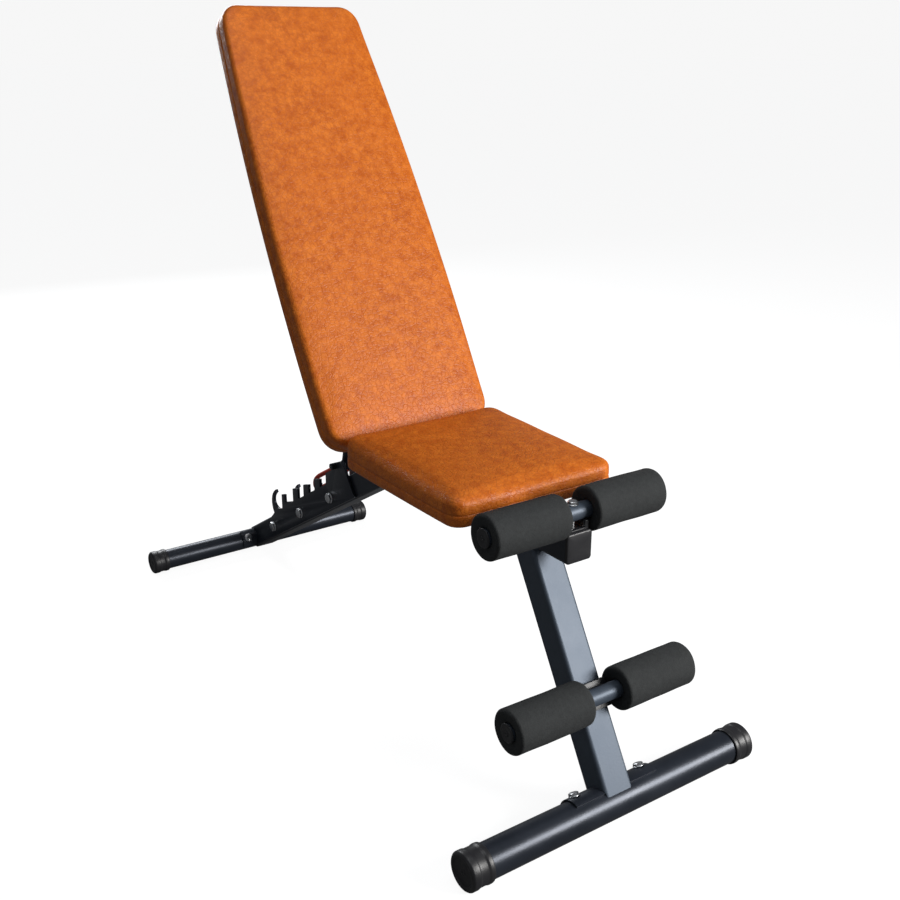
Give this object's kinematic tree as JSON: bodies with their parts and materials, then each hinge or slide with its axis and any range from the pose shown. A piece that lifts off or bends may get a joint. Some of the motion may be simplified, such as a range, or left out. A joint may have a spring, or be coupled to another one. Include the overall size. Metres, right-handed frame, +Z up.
{
  "type": "adjustable weight bench",
  "caption": "Adjustable weight bench: fixed seat, tilting backrest propped by a strut in a notched ladder, foam leg rollers and two floor tubes.",
  "frame": {"origin": "middle of the footprint on the floor, on the plane of symmetry", "axes": "+Z up, +Y from the leg rollers towards the head end, +X across the bench to its right-hand side seen from the leg rollers"},
  "size_m": [0.525, 1.181, 1.0939],
  "materials": {
    "vinyl": "satin",
    "board": "matte",
    "foam": "matte",
    "plastic": "satin",
    "zinc": "satin",
    "red_grip": "satin",
    "post_paint": "gloss",
    "black_paint": "satin",
    "frame_paint": "gloss"
  },
  "bodies": {
    "frame": {"front_base_tube": "frame_paint", "front_saddle": "frame_paint", "front_saddle_bolt_left": "zinc", "front_saddle_bolt_right": "zinc", "front_base_cap_left": "plastic", "front_base_cap_right": "plastic", "front_post": "post_paint", "seat_rail": "frame_paint", "seat_rail_end_cap": "plastic", "rear_beam": "frame_paint", "ladder_plate_left": "frame_paint", "ladder_plate_right": "frame_paint", "ladder_bolt_front": "zinc", "ladder_bolt_middle": "zinc", "ladder_bolt_rear": "zinc", "rear_base_tube": "frame_paint", "rear_saddle": "frame_paint", "rear_saddle_bolt_left": "zinc", "rear_saddle_bolt_right": "zinc", "rear_base_cap_left": "plastic", "rear_base_cap_right": "plastic", "upper_roller_rod": "post_paint", "upper_rod_cradle": "black_paint", "upper_rod_bolt": "zinc", "upper_rod_plug_left": "plastic", "upper_rod_plug_right": "plastic", "lower_roller_rod": "post_paint", "lower_rod_cradle": "black_paint", "lower_rod_bolt": "zinc", "lower_rod_plug_left": "plastic", "lower_rod_plug_right": "plastic", "seat_bracket_front": "black_paint", "seat_bracket_rear": "black_paint", "seat_board": "board", "seat_cushion": "vinyl", "seat_screw_front_left": "zinc", "seat_screw_front_right": "zinc", "seat_screw_rear_left": "zinc", "seat_screw_rear_right": "zinc", "hinge_tube": "frame_paint", "hinge_bolt": "zinc"},
    "backrest": {"back_cushion": "vinyl", "back_board": "board", "back_rail_left": "frame_paint", "back_rail_right": "frame_paint", "back_cross_bar_lower": "frame_paint", "back_cross_bar_upper": "frame_paint", "back_screw_lower_left": "zinc", "back_screw_lower_right": "zinc", "back_screw_upper_left": "zinc", "back_screw_upper_right": "zinc", "strut_pivot_bolt": "zinc"},
    "strut": {"strut_pivot_tube": "frame_paint", "strut_leg": "frame_paint", "strut_bar": "frame_paint", "strut_handle": "red_grip"},
    "upper_roller_left": {"upper_roller_left": "foam"},
    "upper_roller_right": {"upper_roller_right": "foam"},
    "lower_roller_left": {"lower_roller_left": "foam"},
    "lower_roller_right": {"lower_roller_right": "foam"}
  },
  "joints": [
    {"name": "backrest_tilt", "type": "hinge", "parent": "frame", "child": "backrest", "pos_m": [0, -0.0255, 0.398], "axis": [1, 0, 0], "range_deg": [-59.7, 0]},
    {"name": "strut_swing", "type": "hinge", "parent": "backrest", "child": "strut", "pos_m": [0, 0.09921, 0.6031], "axis": [1, 0, 0], "range_deg": [0, 88]},
    {"name": "upper_roller_left_spin", "type": "hinge", "parent": "frame", "child": "upper_roller_left", "pos_m": [0, -0.4515, 0.4315], "axis": [1, 0, 0], "continuous": true},
    {"name": "upper_roller_right_spin", "type": "hinge", "parent": "frame", "child": "upper_roller_right", "pos_m": [0, -0.4515, 0.4315], "axis": [1, 0, 0], "continuous": true},
    {"name": "lower_roller_left_spin", "type": "hinge", "parent": "frame", "child": "lower_roller_left", "pos_m": [0, -0.52294, 0.1782], "axis": [1, 0, 0], "continuous": true},
    {"name": "lower_roller_right_spin", "type": "hinge", "parent": "frame", "child": "lower_roller_right", "pos_m": [0, -0.52294, 0.1782], "axis": [1, 0, 0], "continuous": true}
  ],
  "couplings": [
    {"joint": "strut_swing", "follows": "backrest_tilt", "ratio": -1.47}
  ]
}
